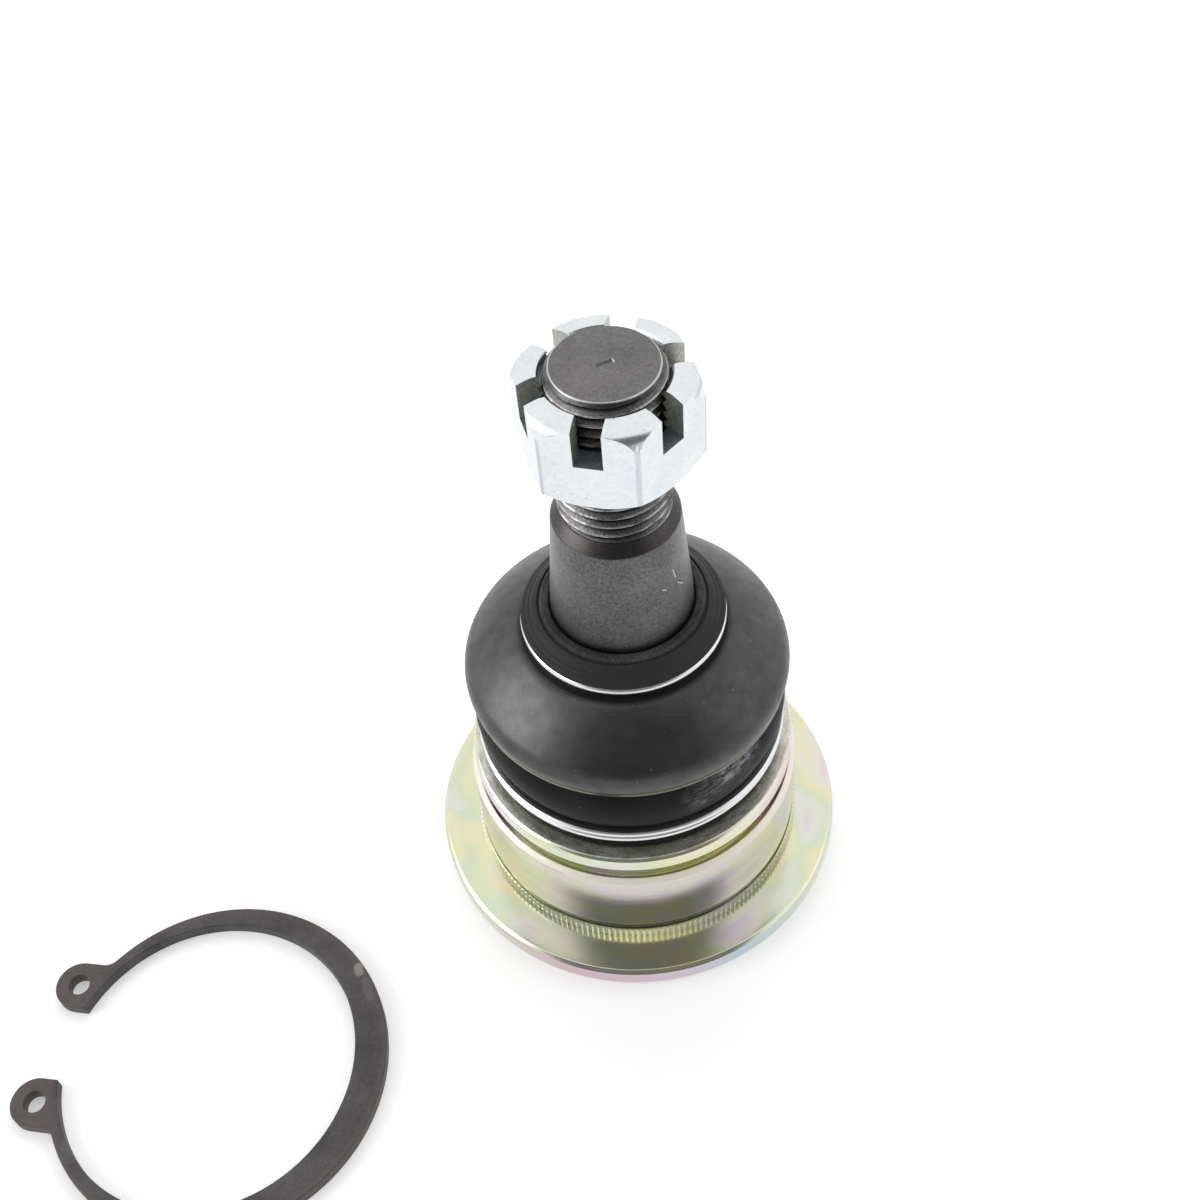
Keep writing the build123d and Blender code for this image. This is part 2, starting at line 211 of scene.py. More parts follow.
def smooth(piece, angle=30):
    """Shades a piece smooth across edges flatter than an angle."""
    put_down(piece)
    bpy.ops.object.shade_smooth_by_angle(angle=radians(angle))
    return piece


def keep_flats(piece):
    """Lets the small rounds take the bend, so that large faces stay flat or evenly curved."""
    even = piece.modifiers.new("flat_faces", "WEIGHTED_NORMAL")
    even.mode = "FACE_AREA"
    even.weight = 100
    even.keep_sharp = True
    return apply_all(piece)


def add_block(size, place, turn=0.0):
    """Box centred on a place and turned about the vertical."""
    put_down(None)
    bpy.ops.mesh.primitive_cube_add(size=1, location=Vector(place) * MM, rotation=(0, 0, radians(turn)))
    block = bpy.context.object
    block.scale = Vector(size) * MM
    bpy.ops.object.transform_apply(location=True, rotation=True, scale=True)
    return block


def add_rod(radius, length, place, turn=(0, 0, 0), sides=64):
    """Rod or prism centred on a place, upright before it is turned."""
    put_down(None)
    bpy.ops.mesh.primitive_cylinder_add(
        vertices=sides, radius=radius * MM, depth=length * MM,
        location=Vector(place) * MM, rotation=[radians(t) for t in turn])
    rod = bpy.context.object
    bpy.ops.object.transform_apply(location=True, rotation=True, scale=True)
    return rod


def arc(start, middle, end, count):
    """Points along the arc through three points, without its start."""
    (ax, ay), (bx, by), (cx, cy) = start, middle, end
    d = 2 * (ax * (by - cy) + bx * (cy - ay) + cx * (ay - by))
    a2, b2, c2 = ax * ax + ay * ay, bx * bx + by * by, cx * cx + cy * cy
    ux = (a2 * (by - cy) + b2 * (cy - ay) + c2 * (ay - by)) / d
    uy = (a2 * (cx - bx) + b2 * (ax - cx) + c2 * (bx - ax)) / d
    radius = hypot(ax - ux, ay - uy)
    first, last = (atan2(y - uy, x - ux) for x, y in (start, end))
    way = 1 if (bx - ax) * (cy - by) - (by - ay) * (cx - bx) > 0 else -1
    sweep = (way * (last - first)) % (2 * pi)
    angles = [first + way * sweep * (i + 1) / count for i in range(count)]
    return [(ux + radius * cos(t), uy + radius * sin(t)) for t in angles]


def rounded(before, corner, after, size, count=5):
    """Points that round a corner of an outline off, over a length to either side."""
    back = (Vector(before) - Vector(corner)).normalized() * size
    on = (Vector(after) - Vector(corner)).normalized() * size
    steps = [i / count for i in range(count + 1)]
    return [tuple(Vector(corner) + back * (1 - t) ** 2 + on * t**2) for t in steps]


def wind(piece, rise, turns, steps):
    """Winds an outline round the axis, rising by the same height each turn."""
    put_down(piece)
    screw = piece.modifiers.new("winding", "SCREW")
    screw.axis = "Z"
    screw.angle = 2 * pi
    screw.screw_offset = rise * MM
    screw.iterations = turns
    screw.steps = screw.render_steps = steps
    return apply_all(piece)


def threaded_rod(name, low, high, root, crest):
    """A closed length of right-hand thread between two heights."""
    start = low - 1.5 * THREAD_PITCH
    flank = crest - 0.06
    tooth = [(root, 0), (root, 0.2), (flank, 0.51), (crest, 0.56), (crest, 0.64), (flank, 0.69), (root, 1)]
    piece = pull_line(name, [(r, 0, start + part * THREAD_PITCH) for r, part in tooth])
    wind(piece, THREAD_PITCH, int((high - start) / THREAD_PITCH) + 3, 96)
    bpy.ops.object.mode_set(mode="EDIT")
    merge_near()
    for height, up in ((low, -1), (high, 1)):
        bpy.ops.mesh.select_all(action="SELECT")
        bpy.ops.mesh.bisect(plane_co=(0, 0, height * MM), plane_no=(0, 0, up), use_fill=True,
                            clear_outer=True, threshold=0.0001 * MM)
    return close_up(piece)


# Pieces


def make_housing():
    """Flanged body, turned, with a straight knurl at the root of the press fit."""
    rim, edge, sunk = 0.45, 0.35, 0.2
    body = turn_on_lathe("plated_housing", [
        (FOOT_R, BASE_Z + 0.2), (FOOT_R + 0.9, BASE_Z), (FLANGE_R - rim, BASE_Z), (FLANGE_R, BASE_Z + rim),
        (FLANGE_R, SHOULDER_Z - rim), (FLANGE_R - rim, SHOULDER_Z), (KNURL_ROOT_R, SHOULDER_Z),
        (KNURL_ROOT_R, KNURL_TOP), (RELIEF_R, KNURL_TOP), (RELIEF_R, PRESS_LOW - 0.3),
        (PRESS_R, PRESS_LOW), (PRESS_R, PRESS_TOP), (LIP_R, GROOVE_LOW), (GROOVE_R, GROOVE_LOW),
        (GROOVE_R, GROOVE_TOP), (LIP_R, GROOVE_TOP), (LIP_R, LIP_TOP - edge), (LIP_R - edge, LIP_TOP),
        (BOOT_SEAT_R, LIP_TOP), (BOOT_SEAT_R, MOUTH_Z - edge), (BOOT_SEAT_R - edge, MOUTH_Z),
        (MOUTH_R, MOUTH_Z), (THROAT_R, THROAT_LOW + 0.4), (THROAT_R, THROAT_LOW),
        (THROAT_R + 0.7, THROAT_LOW), (SOCKET_R, THROAT_LOW - 2.7), (SOCKET_R, CAP_TOP), (CAP_R, CAP_TOP),
        (CAP_R, CAP_LOW), (FOOT_R, BASE_Z + 0.5), (FOOT_R, BASE_Z + 0.2)], steps=256)
    soften_edges(body, 0.12, segments=3)
    tall = KNURL_TOP - SHOULDER_Z + sunk
    put_down(None)
    bpy.ops.mesh.primitive_cylinder_add(
        vertices=2 * KNURL_TEETH, radius=KNURL_TIP_R * MM, depth=tall * MM,
        location=(0, 0, (KNURL_TOP - tall / 2) * MM))
    band = bpy.context.object
    bpy.ops.object.transform_apply(location=True)
    bpy.ops.object.mode_set(mode="EDIT")
    bpy.ops.mesh.select_mode(type="VERT")
    bpy.ops.mesh.select_all(action="DESELECT")
    mesh = bmesh.from_edit_mesh(band.data)
    for vertex in mesh.verts:
        place = atan2(vertex.co.y, vertex.co.x) / (2 * pi) * KNURL_TEETH
        vertex.select_set(round(2 * place + 0.5) % 2 == 0)
    mesh.select_flush_mode()
    bmesh.update_edit_mesh(band.data)
    shrink = KNURL_ROOT_R / KNURL_TIP_R
    bpy.ops.transform.resize(value=(shrink, shrink, 1), center_override=(0, 0, 0))
    close_up(band)
    body.select_set(True)
    bpy.context.view_layer.objects.active = body
    bpy.ops.object.join()
    return keep_flats(smooth(body))


def make_stud():
    """Ball, waisted neck, taper and threaded end, with a split pin hole and a punch mark."""
    meets = sqrt(BALL_R**2 - NECK_R**2)
    flat_r = sqrt(BALL_R**2 - BALL_FLAT_Z**2)
    side = -0.17
    line = [(0, BALL_FLAT_Z), (flat_r, BALL_FLAT_Z)]
    line += arc(line[-1], (BALL_R * cos(side), BALL_R * sin(side)), (NECK_R, meets), 40)
    line.append((NECK_R, NECK_TOP))
    for i in range(1, 13):
        t = i / 12
        wider = (COLLAR_R - NECK_R) * t * t * (3 - 2 * t)
        line.append((NECK_R + wider, NECK_TOP + (COLLAR_LOW - NECK_TOP) * t))
    line += [(COLLAR_R, TAPER_LOW), (TAPER_TOP_R, TAPER_TOP), (THREAD_R - 0.3, THREAD_LOW), (0, THREAD_LOW)]
    stud = turn_on_lathe("ball_stud_steel", line, steps=160)
    soften_edges(stud, 0.15, angle=18, segments=3)
    thread = threaded_rod("stud_thread", THREAD_LOW - 1.0, STUD_TOP + 1.0, THREAD_R - THREAD_DEPTH, THREAD_R)
    blank = turn_on_lathe("stud_end", [
        (0, THREAD_LOW - 0.3), (THREAD_R - 0.5, THREAD_LOW - 0.3), (THREAD_R - 0.5, THREAD_LOW),
        (THREAD_R + 0.01, THREAD_LOW + 0.35), (THREAD_R + 0.01, STUD_TOP - 0.8),
        (END_R + 0.1, STUD_TOP - 0.12), (END_R + 0.05, STUD_TOP - 0.04), (END_R - 0.05, STUD_TOP),
        (0, STUD_TOP)], steps=144)
    cut(thread, blank, "INTERSECT")
    cut(stud, thread, "UNION")
    cut(stud, add_rod(PIN_HOLE_R, 24, (0, 0, STUD_TOP - PIN_HOLE_DROP), (0, 90, NUT_TURN), 32))
    cut(stud, punch_tip())
    return keep_flats(smooth(stud, 28))


def punch_tip():
    """Blunt chisel that leaves the mark in the stud's end."""
    tip = add_block((PUNCH_LONG, PUNCH_WIDE, 0.3), (0, 0, STUD_TOP), PUNCH_TURN)
    bpy.ops.object.mode_set(mode="EDIT")
    bpy.ops.mesh.select_all(action="SELECT")
    bpy.ops.mesh.bisect(plane_co=(0, 0, STUD_TOP * MM), plane_no=(0, 0, 1))
    bpy.ops.mesh.select_all(action="DESELECT")
    bpy.ops.mesh.select_mode(type="VERT")
    mesh = bmesh.from_edit_mesh(tip.data)
    for vertex in mesh.verts:
        vertex.select_set(vertex.co.z < (STUD_TOP - 0.1) * MM)
    mesh.select_flush_mode()
    bmesh.update_edit_mesh(tip.data)
    bpy.ops.transform.resize(value=(0.8, 0.8, 1), center_override=(0, 0, STUD_TOP * MM))
    return close_up(tip)


def make_boot():
    """Rubber boot: bead, clip seat, fold, bulge, crown, clip neck and a ridged sealing lip."""
    bead_r, seat_low, neck_r, stud_r, fold_z, bulge_z = 17.6, 7.35, 10.45, 8.08, 13.225, 18.9
    bead_top, crease = (bead_r, 9.85), (17.35, CREASE_Z)
    shoulder, crown = (17.77, 21.2), (12.0, BOOT_CROWN_Z)
    under_crown, under_shoulder, under_crease = (11.55, 23.8), (16.72, 20.15), (15.85, CREASE_Z)
    line = [(BOOT_BORE_R, BOOT_FOOT_Z), (bead_r - 0.2, BOOT_FOOT_Z), (bead_r, BOOT_FOOT_Z + 0.2),
            (bead_r, seat_low), (CLIP_SEAT_R, seat_low), (CLIP_SEAT_R, bead_top[1]), bead_top]
    line += arc(bead_top, (18.3, fold_z), crease, 16)
    bulge = arc(crease, (18.65, bulge_z), shoulder, 22)
    seam = next(i for i, corner in enumerate(bulge) if corner[1] > SEAM_Z)
    seam_r, seam_z = bulge[seam]
    bulge.insert(seam + 1, (seam_r + 0.27, seam_z - 0.02))
    bulge.insert(seam + 2, (seam_r + 0.10, seam_z + 0.16))
    line += bulge
    line += arc(shoulder, (15.105, 23.47), crown, 12)
    line += [(11.7, 25.33), (11.1, 25.55), (neck_r, 26.1), (neck_r, BOOT_LIP_Z), (11.4, BOOT_LIP_Z),
             (11.4, 27.65), (10.95, 27.95), (10.86, 27.95), (10.76, 28.1), (10.5, 28.31), (10.41, 28.31),
             (10.31, 28.46), (9.5, 29.12), (9.38, 28.9), (9.22, 28.95), (9.1, 29.4), (8.95, BOOT_TOP),
             (stud_r + 0.2, BOOT_TOP), (stud_r, BOOT_TOP - 0.2), (stud_r, under_crown[1]), under_crown]
    line += arc(under_crown, (14.355, 22.27), under_shoulder, 8)
    line += arc(under_shoulder, (17.15, bulge_z), under_crease, 10)
    line += arc(under_crease, (16.8, fold_z), (BOOT_BORE_R, 10.48), 8)
    line.append(line[0])
    boot = turn_on_lathe("rubber_boot", line, steps=176)
    soften_edges(boot, 0.05, angle=32, segments=2)
    smooth(boot, 45)
    spot = boot.data.attributes.new("rest_place", "FLOAT_VECTOR", "POINT")
    spot.data.foreach_set("vector", [c for v in boot.data.vertices for c in v.co])
    return boot


def make_lower_clip():
    """Flat wire wound twice round the boot's foot."""
    low, wide, tall, edge = CLIP_LOW + 0.4, 1.15, 0.75, 0.16
    w, h = wide / 2, tall / 2
    middle = CLIP_SEAT_R + 0.05 + w
    ring = [(-w + edge, -h), (w - edge, -h), (w, -h + edge), (w, h - edge),
            (w - edge, h), (-w + edge, h), (-w, h - edge), (-w, -h + edge)]
    clip = pull_line("lower_clip_wire", [(0, middle + a, low + b) for a, b in ring + ring[:1]])
    merge_near()
    wind(clip, rise=0.8, turns=2, steps=144)
    return cap_ends(clip)


def cap_ends(piece):
    """Closes the open ends of a wire."""
    bpy.ops.object.mode_set(mode="EDIT")
    merge_near()
    bpy.ops.mesh.select_all(action="DESELECT")
    bpy.ops.mesh.select_mode(type="EDGE")
    bpy.ops.mesh.select_non_manifold()
    bpy.ops.mesh.fill_holes(sides=0)
    close_up(piece)
    return smooth(piece, 40)


def make_upper_clip():
    """Single open turn of round wire under the boot's lip."""
    wire_r, bend_r, height, opening, sweep = 0.52, 10.98, 26.8, 98, 344
    put_down(None)
    bpy.ops.mesh.primitive_circle_add(vertices=20, radius=wire_r * MM, rotation=(radians(90), 0, 0),
                                      location=(bend_r * MM, 0, height * MM))
    clip = bpy.context.object
    clip.name = "upper_clip_wire"
    bpy.ops.object.transform_apply(location=True, rotation=True, scale=True)
    clip.data.transform(Matrix.Rotation(radians(opening), 4, "Z"))
    bpy.ops.object.mode_set(mode="EDIT")
    bpy.ops.mesh.select_all(action="SELECT")
    bpy.ops.mesh.spin(steps=150, angle=radians(sweep), center=(0, 0, 0), axis=(0, 0, 1))
    put_down(clip)
    return cap_ends(clip)


def make_nut():
    """Castle nut: hexagon, coned crown and foot, six slots and a tapped bore."""
    tall = NUT_TOP - NUT_LOW
    nut = add_rod(NUT_CORNER_R, tall, (0, 0, (NUT_LOW + NUT_TOP) / 2), (0, 0, NUT_TURN + 90), 6)
    nut.name = "castle_nut_zinc"
    soften_edges(nut, 0.22, angle=40, segments=3)
    reach, foot_r, foot_slope, brow_slope = NUT_CORNER_R + 0.5, 8.2, 0.839, 2.356
    crown, top = (NUT_CROWN_R, NUT_TOP - 0.65), (7.2, NUT_TOP)
    brow = (reach, crown[1] - (reach - NUT_CROWN_R) * brow_slope)
    line = [(0, NUT_LOW), (foot_r, NUT_LOW), (reach, NUT_LOW + (reach - foot_r) * foot_slope), brow]
    line += rounded(brow, crown, top, 0.55)
    line += rounded(crown, top, (0, NUT_TOP), 0.4)
    line.append((0, NUT_TOP))
    cut(nut, turn_on_lathe("nut_turning", line, steps=240), "INTERSECT")
    merge_flats(nut)
    for turn in (30, 90, 150):
        slots = (24, SLOT_WIDE, 2 * (NUT_TOP - SLOT_FLOOR))
        cut(nut, add_block(slots, (0, 0, NUT_TOP), NUT_TURN + turn))
    merge_flats(nut)
    soften_edges(nut, 0.09, angle=38, segments=2)
    cut(nut, threaded_rod("nut_tap", NUT_LOW - 1, NUT_TOP + 1, root=6.03, crest=6.5))
    for height, sign in ((NUT_TOP, -1), (NUT_LOW, 1)):
        outside, inside = height - sign, height + 0.5 * sign
        cone = [(0, outside), (7.5, outside), (6.0, inside), (0, inside)]
        cut(nut, turn_on_lathe("nut_countersink", cone, steps=96))
    return keep_flats(smooth(nut, 25))


def make_snap_ring():
    """Open tapered ring with a holed lug at each end, stamped and rolled at its edges."""
    hole_r, offset, thick, round_in = 17.55, 1.4, 1.75, 1.8
    gap, lug_r, lug_hole_r, lug_wall = 9.0, 2.9, 1.25, 1.4
    side = gap / 2 + lug_r
    edge = side + lug_r
    reach = offset + sqrt((hole_r + lug_wall + lug_hole_r) ** 2 - side**2)
    mouth = offset + sqrt(hole_r**2 - gap**2 / 4)
    dip_y = edge + round_in
    dip_x = sqrt((RING_R + round_in) ** 2 - dip_y**2)
    shrink = RING_R / (RING_R + round_in)
    meets = (dip_x * shrink, dip_y * shrink)
    slope = (atan2(-dip_y, -dip_x) - pi / 2) / 2
    dip = (dip_x + round_in * cos(slope), dip_y + round_in * sin(slope))

    line = [(mouth, gap / 2), (reach, gap / 2)]
    line += arc(line[-1], (reach + lug_r, side), (reach, edge), 20)
    line.append((dip_x, edge))
    line += arc(line[-1], dip, meets, 8)
    line += arc(line[-1], (-RING_R, 0), (meets[0], -meets[1]), 160)
    line += arc(line[-1], (dip[0], -dip[1]), (dip_x, -edge), 8)
    line.append((reach, -edge))
    line += arc(line[-1], (reach + lug_r, -side), (reach, -gap / 2), 20)
    line.append((mouth, -gap / 2))
    line += arc(line[-1], (offset - hole_r, 0), line[0], 160)

    turn = radians(RING_TURN)

    def lay(x, y, z):
        """A point of the ring, turned and moved to where it lies."""
        return (RING_X + x * cos(turn) - y * sin(turn), RING_Y + x * sin(turn) + y * cos(turn), z)

    ring = pull_line("snap_ring_steel", [lay(x, y, BASE_Z) for x, y in line])
    merge_near()
    bpy.ops.mesh.edge_face_add()
    bpy.ops.mesh.extrude_region_move(TRANSFORM_OT_translate={"value": (0, 0, thick * MM)})
    close_up(ring)
    for way in (-1, 1):
        cut(ring, add_rod(lug_hole_r, 3 * thick, lay(reach, way * side, BASE_Z), sides=40))
    soften_edges(ring, 0.16, angle=40, segments=3)
    return keep_flats(smooth(ring, 35))


# Finishes


class Strand:
    """One socket of a node tree. Sums and products of strands lay the math nodes that they need."""

    def __init__(self, nodes, socket):
        self.nodes = nodes
        self.socket = socket

    def __add__(self, other):
        return self.nodes.math("ADD", self, other)

    def __radd__(self, other):
        return self.nodes.math("ADD", other, self)

    def __sub__(self, other):
        return self.nodes.math("SUBTRACT", self, other)

    def __rsub__(self, other):
        return self.nodes.math("SUBTRACT", other, self)

    def __mul__(self, other):
        return self.nodes.math("MULTIPLY", self, other)

    def __rmul__(self, other):
        return self.nodes.math("MULTIPLY", other, self)

    def __truediv__(self, other):
        return self.nodes.math("DIVIDE", self, other)

    def __pow__(self, other):
        return self.nodes.math("POWER", self, other)

    def __abs__(self):
        return self.nodes.math("ABSOLUTE", self)


class Nodes:
    """A node tree laid from Python expressions."""

    def __init__(self, tree):
        self.tree = tree

    def node(self, kind, settings=None, sockets=None, out=0):
        """Lays one node: its settings first, then its sockets."""
        made = self.tree.nodes.new(kind)
        for key, value in (settings or {}).items():
            if key == "stops":
                ramp = made.color_ramp
                while len(ramp.elements) < len(value):
                    ramp.elements.new(1.0)
                for element, (place, colour) in zip(ramp.elements, value):
                    element.position = place
                    element.color = (*colour, 1.0)
            else:
                setattr(made, key, value)
        for key, value in (sockets or {}).items():
            self.feed(made.inputs[key], value)
        return Strand(self, made.outputs[out])

    def feed(self, socket, value):
        """Links a strand to a socket, or sets the socket's value."""
        if isinstance(value, Strand):
            self.tree.links.new(value.socket, socket)
        else:
            socket.default_value = value

    def math(self, operation, first, second=0.0):
        """One math node on two values."""
        return self.node("ShaderNodeMath", {"operation": operation}, {0: first, 1: second})

    def split(self, vector):
        """The x, y and z strands of a vector."""
        parts = self.node("ShaderNodeSeparateXYZ", None, {0: vector}).socket.node
        return [Strand(self, parts.outputs[i]) for i in range(3)]

    def step(self, value, low, high):
        """0 at low and 1 at high, smooth between them."""
        return self.node("ShaderNodeMapRange", {"interpolation_type": "SMOOTHSTEP"},
                         {"Value": value, "From Min": low, "From Max": high})

    def glow(self, kind, strength):
        """White light of one strength, from a surface or from the room."""
        return self.node("ShaderNode" + kind, None, {"Color": (1.0, 1.0, 1.0, 1.0), "Strength": strength})

    def blend(self, mask, first, second):
        """First shader where the mask is 0, second where it is 1."""
        return self.node("ShaderNodeMixShader", None, {0: mask, 1: first, 2: second})

    def shown(self):
        """Masks of the rays that show the backdrop: to the camera, in mirrors and through glass."""
        rays = self.node("ShaderNodeLightPath").socket.node.outputs
        names = ("Is Camera Ray", "Is Glossy Ray", "Is Transmission Ray")
        return [Strand(self, rays[name]) for name in names]


class Finish(Nodes):
    """A material with a principled shader, its constants set on the shader's own sockets."""

    def __init__(self, name, **constants):
        self.material = bpy.data.materials.new(name)
        self.material.use_nodes = True
        super().__init__(self.material.node_tree)
        self.shader = self.tree.nodes["Principled BSDF"]
        for socket, value in constants.items():
            self.shader.inputs[socket.replace("_", " ")].default_value = value

    def surface(self, **links):
        """Feeds the shader and gives the finished material."""
        for socket, value in links.items():
            self.feed(self.shader.inputs[socket.replace("_", " ")], value)
        return self.material

    def place(self, *names, attribute=None):
        """Position on the piece in millimetres: what is named of spot, x, y, z, radius and turn."""
        if attribute:
            spot = self.node("ShaderNodeAttribute", {"attribute_name": attribute}, out="Vector")
        else:
            spot = self.node("ShaderNodeTexCoord", out="Object")
        spot = self.node("ShaderNodeVectorMath", {"operation": "SCALE"}, {0: spot, "Scale": 1000.0})
        x, y, z = self.split(spot)
        found = {"spot": spot, "x": x, "y": y, "z": z}
        found["radius"] = (x * x + y * y) ** 0.5
        found["turn"] = self.math("ARCTAN2", y, x)
        return [found[name] for name in names]

    def vector(self, x, y, z):
        """A vector of three strands."""
        return self.node("ShaderNodeCombineXYZ", None, {0: x, 1: y, 2: z})

    def noise(self, where, scale, detail=2.0, roughness=0.5):
        """Soft random cloud between 0 and 1."""
        return self.node("ShaderNodeTexNoise", None,
                         {"Vector": where, "Scale": scale, "Detail": detail, "Roughness": roughness})

    def specks(self, where, scale, size):
        """1 in small scattered spots, 0 between them."""
        cells = self.node("ShaderNodeTexVoronoi", None, {"Vector": where, "Scale": scale})
        return self.step(cells, size, 0.6 * size)

    def band(self, value, low, high, soft):
        """1 between two values, 0 outside them."""
        return self.step(value, low - soft, low) * self.step(value, high + soft, high)

    def scratch(self, across, along, start, end, width):
        """1 on a thin line between two points of a surface laid flat."""
        du, dv = end[0] - start[0], end[1] - start[1]
        u, v = across - start[0], along - start[1]
        part = (u * du + v * dv) / (du * du + dv * dv)
        part = self.math("MINIMUM", self.math("MAXIMUM", part, 0.0), 1.0)
        off_u, off_v = u - part * du, v - part * dv
        return self.step((off_u * off_u + off_v * off_v) ** 0.5, width, 0.4 * width)

    def ramp(self, value, *stops):
        """Colour that runs through stops of (value, colour)."""
        return self.node("ShaderNodeValToRGB", {"stops": stops}, {0: value})

    def mix(self, mask, first, second):
        """First where the mask is 0, second where it is 1."""
        first, second = (c if isinstance(c, Strand) else (*c, 1.0) for c in (first, second))
        sockets = {0: mask, 6: first, 7: second}
        return self.node("ShaderNodeMix", {"data_type": "RGBA"}, sockets, out=2)

    def bump(self, height, depth):
        """Relief of a height from 0 to 1 over a depth in millimetres."""
        sockets = {"Strength": 1.0, "Distance": depth * MM, "Height": height}
        return self.node("ShaderNodeBump", None, sockets)


def yellow_zinc():
    """Zinc plate under a thin passivation film: silver and straw with green, rose, lilac and blue clouds."""
    f = Finish("yellow_zinc")
    spot, x, z, radius, turn = f.place("spot", "x", "z", "radius", "turn")
    cloud = f.noise(spot, 0.075, 2.0, 0.5)
    streak = f.noise(f.vector(radius * 0.5, z * 0.7, turn * 2.0), 0.6, 2.0)
    film = cloud * 1.1 + streak * 0.5 - 0.3
    tint = f.ramp(film, (0.22, (0.64, 0.58, 0.72)), (0.34, (0.80, 0.79, 0.73)), (0.44, (0.72, 0.79, 0.59)),
                  (0.54, (0.85, 0.82, 0.54)), (0.64, (0.82, 0.81, 0.71)), (0.74, (0.82, 0.68, 0.67)),
                  (0.86, (0.62, 0.70, 0.80)))
    wall = f.band(z, PRESS_LOW, PRESS_TOP, 0.1) * f.step(radius, PRESS_R - 0.5, PRESS_R - 0.2)
    lilac = f.ramp(streak, (0.35, (0.64, 0.54, 0.68)), (0.5, (0.70, 0.62, 0.64)), (0.65, (0.66, 0.66, 0.55)))
    tint = f.mix(wall * 0.6, tint, lilac)
    # The cream tint on the lead chamfer is a painted highlight, with a rougher, less metallic finish there.
    lead = f.band(z, PRESS_TOP + 0.1, GROOVE_LOW - 0.05, 0.1) * f.step(radius, LIP_R - 0.2, LIP_R)
    tint = f.mix(lead * 0.9, tint, (0.94, 0.88, 0.78))
    # The bright straw tint on the knurl teeth is a painted highlight.
    teeth = f.band(z, SHOULDER_Z + 0.1, KNURL_TOP - 0.1, 0.08)
    teeth = teeth * f.band(radius, KNURL_ROOT_R - 0.02, KNURL_TIP_R + 0.15, 0.08)
    tint = f.mix(teeth * 0.9, tint, (0.95, 0.95, 0.74))
    # The dark olive in the relief groove above the knurl is painted shade.
    relief = f.band(z, KNURL_TOP + 0.02, PRESS_LOW - 0.1, 0.06)
    relief = relief * f.step(radius, KNURL_ROOT_R, RELIEF_R + 0.2)
    tint = f.mix(relief * 0.7, tint, (0.20, 0.19, 0.12))
    # The brown tint in the groove under the lip is painted shade.
    groove = f.band(z, GROOVE_LOW - 0.02, GROOVE_TOP + 0.02, 0.03)
    groove = groove * f.step(radius, LIP_R - 0.1, LIP_R - 0.4)
    tint = f.mix(groove * 0.2, tint, (0.40, 0.35, 0.26))
    side = f.step(radius, FLANGE_R - 0.25, FLANGE_R - 0.08)
    rainbow_wide = 50.0
    rim = f.ramp(x / rainbow_wide + 0.5, (0.1, (0.66, 0.65, 0.55)), (0.3, (0.66, 0.45, 0.52)),
                 (0.52, (0.64, 0.49, 0.64)), (0.72, (0.48, 0.58, 0.70)), (0.92, (0.66, 0.68, 0.60)))
    tint = f.mix(side * 0.85, tint, rim)
    # The ledge under the boot is darkened by a mottle: partly stains, and partly painted shade and a painted
    # reflection of the black boot above.
    ledge = f.step(z, LIP_TOP - 0.12, LIP_TOP - 0.02)
    mottle = f.noise(f.vector(radius * 1.6, z, turn * 9.0), 0.9, 4.0, 0.7)
    stain_and_shade = f.ramp(mottle, (0.34, (0.30, 0.31, 0.24)), (0.5, (0.62, 0.63, 0.52)),
                     (0.64, (0.86, 0.86, 0.80)))
    tint = f.mix(ledge * 0.65, tint, stain_and_shade)
    lines = f.noise(f.vector(radius * 6.0, z * 6.0, turn * 0.4), 1.6, 3.0, 0.7)
    grain = f.noise(spot, 6.0, 2.0)
    rough = 0.06 + 0.12 * lines + 0.04 * grain + ledge * mottle * 0.25 + teeth * 0.2 + lead * 0.35
    metal = 1.0 - 0.75 * lead - 0.35 * teeth - 0.2 * ledge
    return f.surface(Base_Color=tint, Roughness=rough, Metallic=metal,
                     Normal=f.bump(lines * 0.7 + grain * (0.3 + 2.0 * lead), 0.006))


